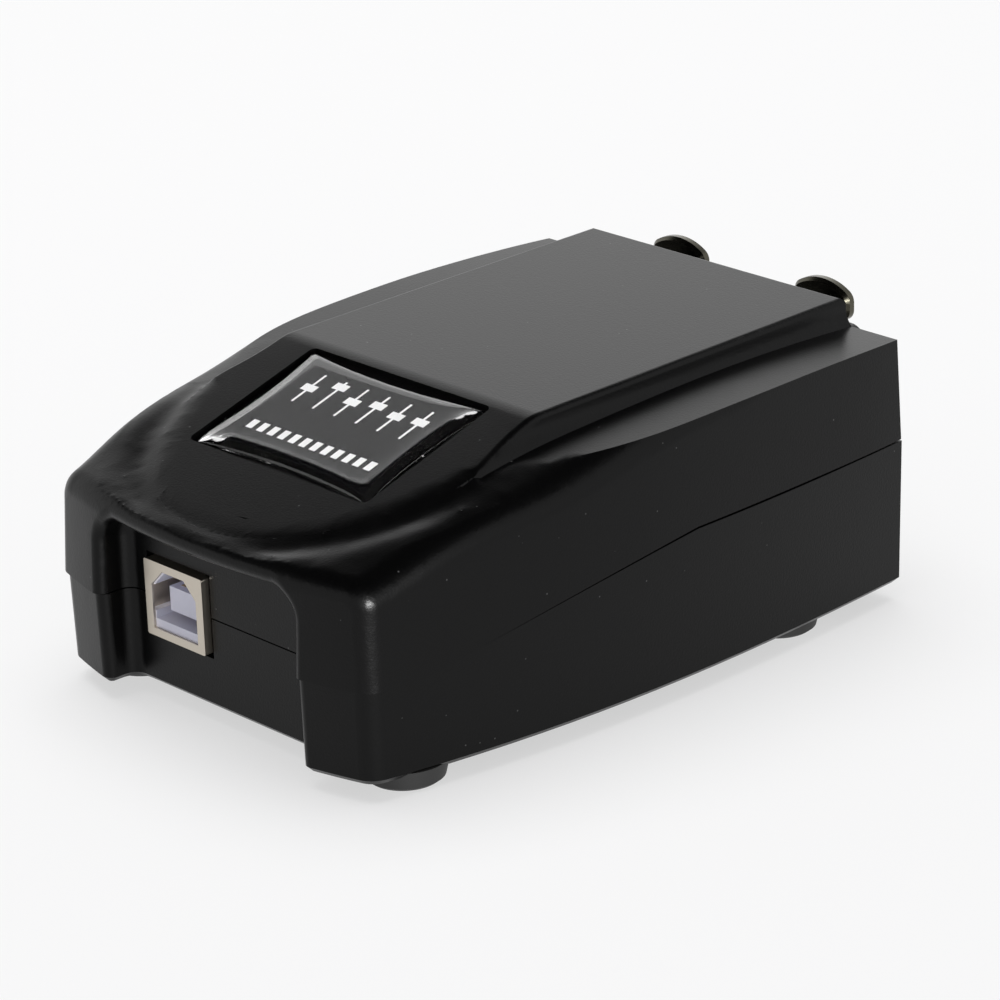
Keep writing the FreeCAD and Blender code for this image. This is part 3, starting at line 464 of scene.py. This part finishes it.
# Type B socket: a pressed nickel-plated shell round an off-white moulded block with gold contacts.
# The shell is folded from one strip and stands a little out of the case's window.
bare_metal = 1.0
shell_nickel = (0.5, 0.455, 0.39, 1)
shell_roughness = 0.28
block_white = (0.72, 0.72, 0.84, 1)
block_roughness = 0.4
contact_gold = (0.8, 0.58, 0.27, 1)
contact_roughness = 0.22
shell_finish, tree, shader = new_finish(
    "nickel-plated shell", shell_nickel, shell_roughness, bare_metal)
give(shell_finish, "usb_shell")
block_finish, tree, shader = new_finish("off-white moulded block", block_white, block_roughness)
give(block_finish, "usb_insulator")
gold_finish, tree, shader = new_finish(
    "gold-plated contact", contact_gold, contact_roughness, bare_metal)
give(gold_finish, "usb_contacts", "left_socket_contacts", "right_socket_contacts")

# Circuit board inside: green lacquered glass fibre on posts of the lower shell. Its black chips,
# drawn cans and off-white plug headers are soldered to it.
board_green = (0.012, 0.11, 0.045, 1)
board_roughness = 0.3
chip_black = (0.02, 0.02, 0.02, 1)
chip_roughness = 0.5
can_silver = (0.75, 0.75, 0.76, 1)
can_roughness = 0.25
header_white = (0.7, 0.68, 0.62, 1)
header_roughness = 0.45
board_finish, tree, shader = new_finish("green board", board_green, board_roughness)
give(board_finish, "circuit_board")
chip_finish, tree, shader = new_finish("black chip", chip_black, chip_roughness)
give(chip_finish, "microcontroller", "left_line_driver", "right_line_driver")
can_finish, tree, shader = new_finish("bright drawn can", can_silver, can_roughness, bare_metal)
give(can_finish, "crystal", "capacitors")
header_finish, tree, shader = new_finish("off-white header", header_white, header_roughness)
give(header_finish, "left_wire_header", "right_wire_header")

# Screws of the case, the board and the rear sockets, and the pins of the levers: steel, plated with
# zinc. The screws pull the pieces together, and each pin is pressed through its casting.
screw_grey = (0.42, 0.42, 0.43, 1)
screw_roughness = 0.35
screw_finish, tree, shader = new_finish("zinc-plated screw", screw_grey, screw_roughness, bare_metal)
give(screw_finish, "case_screws", "board_screws", "socket_screws", "left_latch_pin", "right_latch_pin")

# Rear panel sockets: black-coated die castings with a moulded insert, screwed to the rear panel.
# The coating has the same fine grain as the case.
casting_black = (0.012, 0.012, 0.013, 1)
casting_roughness = 0.38
insert_black = (0.01, 0.01, 0.01, 1)
insert_roughness = 0.45
casting_finish, tree, shader = new_finish("black-coated casting", casting_black, casting_roughness)
add_bump(tree, shader, noise(tree, grain_size), grain_depth)
give(casting_finish, "left_socket_housing", "right_socket_housing")
insert_finish, tree, shader = new_finish("black moulded insert", insert_black, insert_roughness)
give(insert_finish, "left_socket_insert", "right_socket_insert")

# Release levers of the rear sockets: stamped steel in dark nickel. Each turns on its pin, with the
# thumb tab outside and the inner end under the leaf spring.
tab_nickel = (0.09, 0.085, 0.065, 1)
tab_roughness = 0.25
tab_finish, tree, shader = new_finish("dark nickel latch", tab_nickel, tab_roughness, bare_metal)
give(tab_finish, "left_latch_lever", "right_latch_lever")

# Leaf springs over the inner ends of the levers: bare spring steel. The root of each is held in the
# casting, and its free end lies on the lever.
spring_grey = (0.5, 0.5, 0.5, 1)
spring_roughness = 0.3
spring_finish, tree, shader = new_finish(
    "leaf spring steel", spring_grey, spring_roughness, bare_metal)
for side in ("left", "right"):
    low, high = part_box(side + "_latch_spring")
    leaf = piece_of(merged_form(side + "_latch_spring"), side + "_leaf_spring", spring_finish)
    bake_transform(leaf)
    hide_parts(side + "_latch_spring")

# Feet: four matt black rubber plugs, pushed into shallow seats under the tray. They lift the case
# off the floor, so a thin shadow shows under it.
foot_black = (0.006, 0.006, 0.006, 1)
foot_roughness = 0.6
foot_finish, tree, shader = new_finish("black rubber foot", foot_black, foot_roughness)
give(foot_finish, "front_left_foot", "front_right_foot", "rear_left_foot", "rear_right_foot")

# Floor: matt white card that the case stands on. It keeps a soft shadow under the case, and the
# camera and gloss see it lifted towards plain white.
floor_reach = 3.0
floor_colour = (0.86, 0.86, 0.86, 1)
floor_roughness = 0.9
white_share = 0.6


def seen_by_eye_or_gloss(tree):
    """One for what the camera sees, straight or in metal, gloss and clear resin."""
    path = tree.nodes.new("ShaderNodeLightPath")
    total = path.outputs["Is Camera Ray"]
    for name in ("Is Glossy Ray", "Is Transmission Ray"):
        node = tree.nodes.new("ShaderNodeMath")
        node.operation = "MAXIMUM"
        tree.links.new(total, node.inputs[0])
        tree.links.new(path.outputs[name], node.inputs[1])
        total = node.outputs["Value"]
    return total


floor_finish, tree, shader = new_finish("white card floor", floor_colour, floor_roughness)
shader.inputs["Specular IOR Level"].default_value = no_gloss
share = tree.nodes.new("ShaderNodeMath")
share.operation = "MULTIPLY"
share.inputs[1].default_value = white_share
tree.links.new(seen_by_eye_or_gloss(tree), share.inputs[0])
white = tree.nodes.new("ShaderNodeEmission")
mix = tree.nodes.new("ShaderNodeMixShader")
tree.links.new(share.outputs["Value"], mix.inputs["Fac"])
tree.links.new(shader.outputs["BSDF"], mix.inputs[1])
tree.links.new(white.outputs["Emission"], mix.inputs[2])
tree.links.new(mix.outputs["Shader"], tree.nodes["Material Output"].inputs["Surface"])
corners = [(-floor_reach, -floor_reach, 0), (floor_reach, -floor_reach, 0),
           (floor_reach, floor_reach, 0), (-floor_reach, floor_reach, 0)]
floor = mesh_piece("floor", corners, [(0, 1, 2, 3)], floor_finish, False)

# Room: a white backdrop all round, which the camera, gloss and clear resin see. It gives the deck
# its sheen. Everything else gets a plain low light from it.
room_light = (0.35, 0.35, 0.36, 1)
backdrop_white = (1, 1, 1, 1)
world = bpy.data.worlds.new("studio")
bpy.context.scene.world = world
world.use_nodes = True
tree = world.node_tree
room = tree.nodes["Background"]
room.inputs["Color"].default_value = room_light
white = tree.nodes.new("ShaderNodeBackground")
white.inputs["Color"].default_value = backdrop_white
mix = tree.nodes.new("ShaderNodeMixShader")
tree.links.new(seen_by_eye_or_gloss(tree), mix.inputs["Fac"])
tree.links.new(room.outputs["Background"], mix.inputs[1])
tree.links.new(white.outputs["Background"], mix.inputs[2])
tree.links.new(mix.outputs["Shader"], tree.nodes["World Output"].inputs["Surface"])

# Black flag over the case: a round card that only gloss sees. It keeps the hood, the rolls and the
# deck's walls deep black, as in the photograph, while the deck mirrors the backdrop.
flag_centre = Vector((0.0, -0.3, 0.5))
flag_radius = 0.77
flag_sides = 96
flag_black = (0.01, 0.01, 0.01, 1)
flag_roughness = 0.9
flag_finish, tree, shader = new_finish("black flag card", flag_black, flag_roughness)
shader.inputs["Specular IOR Level"].default_value = no_gloss
turns = [math.tau * side / flag_sides for side in range(flag_sides)]
rim = [flag_centre + flag_radius * Vector((math.cos(turn), math.sin(turn), 0)) for turn in turns]
flag = mesh_piece("flag_card", rim, [tuple(range(flag_sides))], flag_finish, False)
flag.visible_camera = False
flag.visible_diffuse = False
flag.visible_transmission = False
flag.visible_shadow = False

# Lamps: a broad one on the ceiling for the general light, a low one in front for the highlight on
# the near corner, and a window behind on the left for a touch of sheen on the deck.
ceiling_place = (-0.2, 0.1, 1.2)
ceiling_target = (0, 0, 0.02)
ceiling_size = (1.2, 1.2)
ceiling_power = 13.0
front_place = (0.8, -0.42, 0.16)
front_size = (0.3, 0.09)
front_power = 16.0
window_place = (-0.68, 0.68, 0.36)
window_size = (0.6, 0.5)
window_power = 0.5
case_middle = (0, 0, 0.03)


def area_lamp(name, place, target, size, power):
    light = bpy.data.lights.new(name, "AREA")
    light.shape = "RECTANGLE"
    light.size, light.size_y = size
    light.energy = power
    lamp = add_object(name, light)
    aim = Vector(place) - Vector(target)
    turn = aim.to_track_quat("Z", "Y").to_matrix().to_4x4()
    lamp.matrix_world = Matrix.Translation(place) @ turn
    return lamp


ceiling = area_lamp("ceiling light", ceiling_place, ceiling_target, ceiling_size, ceiling_power)
ceiling.visible_glossy = False
front = area_lamp("front lamp", front_place, case_middle, front_size, front_power)
front.visible_diffuse = False
area_lamp("window", window_place, case_middle, window_size, window_power)

# Camera: a long lens from the front right, a little above the deck. Its place, aim, roll and lens
# were fitted to the photograph.
camera_place = Vector((0.3958, -0.3615, 0.2302))
camera_target = Vector((-0.0002, 0.0026, 0.0184))
camera_roll = math.radians(-2.03)
camera_lens = 150.1
back = (camera_place - camera_target).normalized()
level = Vector((0, 0, 1)).cross(back).normalized()
upright = back.cross(level)
right = math.cos(camera_roll) * level + math.sin(camera_roll) * upright
up = back.cross(right)
camera_data = bpy.data.cameras.new("camera")
camera_data.lens = camera_lens
camera = add_object("camera", camera_data)
camera.matrix_world = Matrix((
    (right.x, up.x, back.x, camera_place.x),
    (right.y, up.y, back.y, camera_place.y),
    (right.z, up.z, back.z, camera_place.z),
    (0, 0, 0, 1)))
bpy.context.scene.camera = camera
bpy.context.scene.view_settings.view_transform = "Standard"
